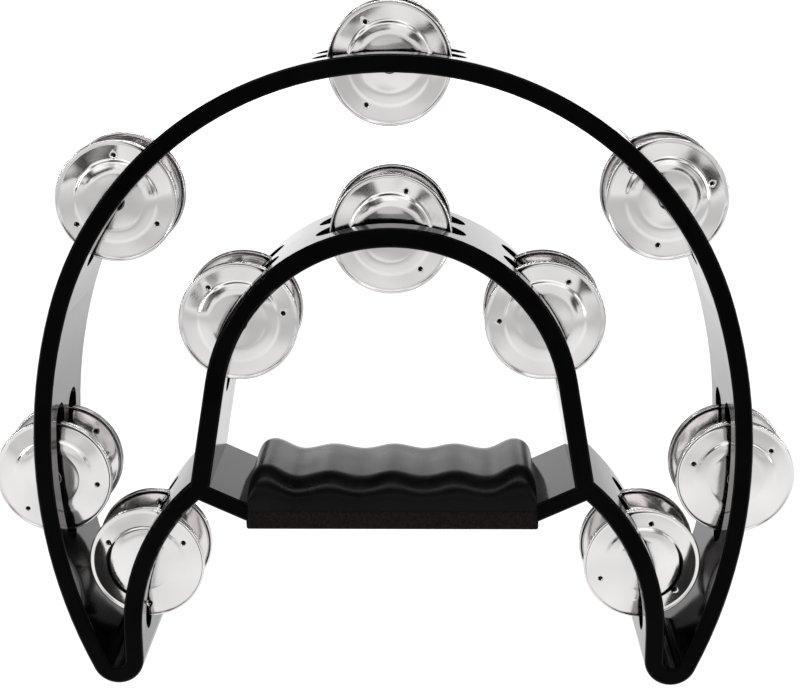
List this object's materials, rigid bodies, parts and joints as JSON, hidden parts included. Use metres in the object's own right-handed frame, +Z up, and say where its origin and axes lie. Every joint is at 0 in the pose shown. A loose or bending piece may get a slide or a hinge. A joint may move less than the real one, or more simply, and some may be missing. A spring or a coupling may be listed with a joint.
{
  "type": "half-moon tambourine",
  "caption": "Half-moon tambourine: moulded rim and arch with two rows of loose domed jingle pairs on pins, and a rubber grip with finger grooves across the opening.",
  "frame": {"origin": "bottom centre of the bounding box: the level that both leg tips stand on, half way across the width and the depth", "axes": "+Z up from the leg tips to the crown, +X along the handle, -Y out of the front rim towards a viewer"},
  "size_m": [0.2582, 0.045, 0.2184],
  "materials": {
    "frame_plastic": "gloss black moulded ABS",
    "grip_rubber": "satin black moulded rubber",
    "pad_rubber": "rough black cellular rubber",
    "jingle_steel": "polished nickel plate on pressed steel",
    "pin_steel": "drawn steel wire"
  },
  "bodies": {
    "frame": {"frame": "frame_plastic", "grip_sleeve": "grip_rubber", "grip_pad": "pad_rubber", "pin_crown": "pin_steel", "pin_arch_top": "pin_steel", "pin_shoulder_right": "pin_steel", "pin_shoulder_left": "pin_steel", "pin_side_right": "pin_steel", "pin_side_left": "pin_steel", "pin_arch_right": "pin_steel", "pin_arch_left": "pin_steel", "pin_leg_right": "pin_steel", "pin_leg_left": "pin_steel"},
    "jingle_crown_front_outer": {"jingle_crown_front_outer": "jingle_steel"},
    "jingle_crown_front_inner": {"jingle_crown_front_inner": "jingle_steel"},
    "jingle_crown_rear_outer": {"jingle_crown_rear_outer": "jingle_steel"},
    "jingle_crown_rear_inner": {"jingle_crown_rear_inner": "jingle_steel"},
    "jingle_arch_top_front_outer": {"jingle_arch_top_front_outer": "jingle_steel"},
    "jingle_arch_top_front_inner": {"jingle_arch_top_front_inner": "jingle_steel"},
    "jingle_arch_top_rear_outer": {"jingle_arch_top_rear_outer": "jingle_steel"},
    "jingle_arch_top_rear_inner": {"jingle_arch_top_rear_inner": "jingle_steel"},
    "jingle_shoulder_right_front_outer": {"jingle_shoulder_right_front_outer": "jingle_steel"},
    "jingle_shoulder_right_front_inner": {"jingle_shoulder_right_front_inner": "jingle_steel"},
    "jingle_shoulder_right_rear_outer": {"jingle_shoulder_right_rear_outer": "jingle_steel"},
    "jingle_shoulder_right_rear_inner": {"jingle_shoulder_right_rear_inner": "jingle_steel"},
    "jingle_shoulder_left_front_outer": {"jingle_shoulder_left_front_outer": "jingle_steel"},
    "jingle_shoulder_left_front_inner": {"jingle_shoulder_left_front_inner": "jingle_steel"},
    "jingle_shoulder_left_rear_outer": {"jingle_shoulder_left_rear_outer": "jingle_steel"},
    "jingle_shoulder_left_rear_inner": {"jingle_shoulder_left_rear_inner": "jingle_steel"},
    "jingle_side_right_front_outer": {"jingle_side_right_front_outer": "jingle_steel"},
    "jingle_side_right_front_inner": {"jingle_side_right_front_inner": "jingle_steel"},
    "jingle_side_right_rear_outer": {"jingle_side_right_rear_outer": "jingle_steel"},
    "jingle_side_right_rear_inner": {"jingle_side_right_rear_inner": "jingle_steel"},
    "jingle_side_left_front_outer": {"jingle_side_left_front_outer": "jingle_steel"},
    "jingle_side_left_front_inner": {"jingle_side_left_front_inner": "jingle_steel"},
    "jingle_side_left_rear_outer": {"jingle_side_left_rear_outer": "jingle_steel"},
    "jingle_side_left_rear_inner": {"jingle_side_left_rear_inner": "jingle_steel"},
    "jingle_arch_right_front_outer": {"jingle_arch_right_front_outer": "jingle_steel"},
    "jingle_arch_right_front_inner": {"jingle_arch_right_front_inner": "jingle_steel"},
    "jingle_arch_right_rear_outer": {"jingle_arch_right_rear_outer": "jingle_steel"},
    "jingle_arch_right_rear_inner": {"jingle_arch_right_rear_inner": "jingle_steel"},
    "jingle_arch_left_front_outer": {"jingle_arch_left_front_outer": "jingle_steel"},
    "jingle_arch_left_front_inner": {"jingle_arch_left_front_inner": "jingle_steel"},
    "jingle_arch_left_rear_outer": {"jingle_arch_left_rear_outer": "jingle_steel"},
    "jingle_arch_left_rear_inner": {"jingle_arch_left_rear_inner": "jingle_steel"},
    "jingle_leg_right_front_outer": {"jingle_leg_right_front_outer": "jingle_steel"},
    "jingle_leg_right_front_inner": {"jingle_leg_right_front_inner": "jingle_steel"},
    "jingle_leg_right_rear_outer": {"jingle_leg_right_rear_outer": "jingle_steel"},
    "jingle_leg_right_rear_inner": {"jingle_leg_right_rear_inner": "jingle_steel"},
    "jingle_leg_left_front_outer": {"jingle_leg_left_front_outer": "jingle_steel"},
    "jingle_leg_left_front_inner": {"jingle_leg_left_front_inner": "jingle_steel"},
    "jingle_leg_left_rear_outer": {"jingle_leg_left_rear_outer": "jingle_steel"},
    "jingle_leg_left_rear_inner": {"jingle_leg_left_rear_inner": "jingle_steel"}
  },
  "joints": [
    {"name": "slide_crown_front_outer", "type": "slide", "parent": "frame", "child": "jingle_crown_front_outer", "axis": [0, -1, 0], "range_m": [0, 0.0024]},
    {"name": "slide_crown_front_inner", "type": "slide", "parent": "frame", "child": "jingle_crown_front_inner", "axis": [0, 1, 0], "range_m": [0, 0.0024]},
    {"name": "slide_crown_rear_outer", "type": "slide", "parent": "frame", "child": "jingle_crown_rear_outer", "axis": [0, 1, 0], "range_m": [0, 0.0024]},
    {"name": "slide_crown_rear_inner", "type": "slide", "parent": "frame", "child": "jingle_crown_rear_inner", "axis": [0, -1, 0], "range_m": [0, 0.0024]},
    {"name": "slide_arch_top_front_outer", "type": "slide", "parent": "frame", "child": "jingle_arch_top_front_outer", "axis": [0, -1, 0], "range_m": [0, 0.0024]},
    {"name": "slide_arch_top_front_inner", "type": "slide", "parent": "frame", "child": "jingle_arch_top_front_inner", "axis": [0, 1, 0], "range_m": [0, 0.0024]},
    {"name": "slide_arch_top_rear_outer", "type": "slide", "parent": "frame", "child": "jingle_arch_top_rear_outer", "axis": [0, 1, 0], "range_m": [0, 0.0024]},
    {"name": "slide_arch_top_rear_inner", "type": "slide", "parent": "frame", "child": "jingle_arch_top_rear_inner", "axis": [0, -1, 0], "range_m": [0, 0.0024]},
    {"name": "slide_shoulder_right_front_outer", "type": "slide", "parent": "frame", "child": "jingle_shoulder_right_front_outer", "axis": [0, -1, 0], "range_m": [0, 0.0024]},
    {"name": "slide_shoulder_right_front_inner", "type": "slide", "parent": "frame", "child": "jingle_shoulder_right_front_inner", "axis": [0, 1, 0], "range_m": [0, 0.0024]},
    {"name": "slide_shoulder_right_rear_outer", "type": "slide", "parent": "frame", "child": "jingle_shoulder_right_rear_outer", "axis": [0, 1, 0], "range_m": [0, 0.0024]},
    {"name": "slide_shoulder_right_rear_inner", "type": "slide", "parent": "frame", "child": "jingle_shoulder_right_rear_inner", "axis": [0, -1, 0], "range_m": [0, 0.0024]},
    {"name": "slide_shoulder_left_front_outer", "type": "slide", "parent": "frame", "child": "jingle_shoulder_left_front_outer", "axis": [0, -1, 0], "range_m": [0, 0.0024]},
    {"name": "slide_shoulder_left_front_inner", "type": "slide", "parent": "frame", "child": "jingle_shoulder_left_front_inner", "axis": [0, 1, 0], "range_m": [0, 0.0024]},
    {"name": "slide_shoulder_left_rear_outer", "type": "slide", "parent": "frame", "child": "jingle_shoulder_left_rear_outer", "axis": [0, 1, 0], "range_m": [0, 0.0024]},
    {"name": "slide_shoulder_left_rear_inner", "type": "slide", "parent": "frame", "child": "jingle_shoulder_left_rear_inner", "axis": [0, -1, 0], "range_m": [0, 0.0024]},
    {"name": "slide_side_right_front_outer", "type": "slide", "parent": "frame", "child": "jingle_side_right_front_outer", "axis": [0, -1, 0], "range_m": [0, 0.0024]},
    {"name": "slide_side_right_front_inner", "type": "slide", "parent": "frame", "child": "jingle_side_right_front_inner", "axis": [0, 1, 0], "range_m": [0, 0.0024]},
    {"name": "slide_side_right_rear_outer", "type": "slide", "parent": "frame", "child": "jingle_side_right_rear_outer", "axis": [0, 1, 0], "range_m": [0, 0.0024]},
    {"name": "slide_side_right_rear_inner", "type": "slide", "parent": "frame", "child": "jingle_side_right_rear_inner", "axis": [0, -1, 0], "range_m": [0, 0.0024]},
    {"name": "slide_side_left_front_outer", "type": "slide", "parent": "frame", "child": "jingle_side_left_front_outer", "axis": [0, -1, 0], "range_m": [0, 0.0024]},
    {"name": "slide_side_left_front_inner", "type": "slide", "parent": "frame", "child": "jingle_side_left_front_inner", "axis": [0, 1, 0], "range_m": [0, 0.0024]},
    {"name": "slide_side_left_rear_outer", "type": "slide", "parent": "frame", "child": "jingle_side_left_rear_outer", "axis": [0, 1, 0], "range_m": [0, 0.0024]},
    {"name": "slide_side_left_rear_inner", "type": "slide", "parent": "frame", "child": "jingle_side_left_rear_inner", "axis": [0, -1, 0], "range_m": [0, 0.0024]},
    {"name": "slide_arch_right_front_outer", "type": "slide", "parent": "frame", "child": "jingle_arch_right_front_outer", "axis": [0, -1, 0], "range_m": [0, 0.0024]},
    {"name": "slide_arch_right_front_inner", "type": "slide", "parent": "frame", "child": "jingle_arch_right_front_inner", "axis": [0, 1, 0], "range_m": [0, 0.0024]},
    {"name": "slide_arch_right_rear_outer", "type": "slide", "parent": "frame", "child": "jingle_arch_right_rear_outer", "axis": [0, 1, 0], "range_m": [0, 0.0024]},
    {"name": "slide_arch_right_rear_inner", "type": "slide", "parent": "frame", "child": "jingle_arch_right_rear_inner", "axis": [0, -1, 0], "range_m": [0, 0.0024]},
    {"name": "slide_arch_left_front_outer", "type": "slide", "parent": "frame", "child": "jingle_arch_left_front_outer", "axis": [0, -1, 0], "range_m": [0, 0.0024]},
    {"name": "slide_arch_left_front_inner", "type": "slide", "parent": "frame", "child": "jingle_arch_left_front_inner", "axis": [0, 1, 0], "range_m": [0, 0.0024]},
    {"name": "slide_arch_left_rear_outer", "type": "slide", "parent": "frame", "child": "jingle_arch_left_rear_outer", "axis": [0, 1, 0], "range_m": [0, 0.0024]},
    {"name": "slide_arch_left_rear_inner", "type": "slide", "parent": "frame", "child": "jingle_arch_left_rear_inner", "axis": [0, -1, 0], "range_m": [0, 0.0024]},
    {"name": "slide_leg_right_front_outer", "type": "slide", "parent": "frame", "child": "jingle_leg_right_front_outer", "axis": [0, -1, 0], "range_m": [0, 0.0024]},
    {"name": "slide_leg_right_front_inner", "type": "slide", "parent": "frame", "child": "jingle_leg_right_front_inner", "axis": [0, 1, 0], "range_m": [0, 0.0024]},
    {"name": "slide_leg_right_rear_outer", "type": "slide", "parent": "frame", "child": "jingle_leg_right_rear_outer", "axis": [0, 1, 0], "range_m": [0, 0.0024]},
    {"name": "slide_leg_right_rear_inner", "type": "slide", "parent": "frame", "child": "jingle_leg_right_rear_inner", "axis": [0, -1, 0], "range_m": [0, 0.0024]},
    {"name": "slide_leg_left_front_outer", "type": "slide", "parent": "frame", "child": "jingle_leg_left_front_outer", "axis": [0, -1, 0], "range_m": [0, 0.0024]},
    {"name": "slide_leg_left_front_inner", "type": "slide", "parent": "frame", "child": "jingle_leg_left_front_inner", "axis": [0, 1, 0], "range_m": [0, 0.0024]},
    {"name": "slide_leg_left_rear_outer", "type": "slide", "parent": "frame", "child": "jingle_leg_left_rear_outer", "axis": [0, 1, 0], "range_m": [0, 0.0024]},
    {"name": "slide_leg_left_rear_inner", "type": "slide", "parent": "frame", "child": "jingle_leg_left_rear_inner", "axis": [0, -1, 0], "range_m": [0, 0.0024]}
  ]
}
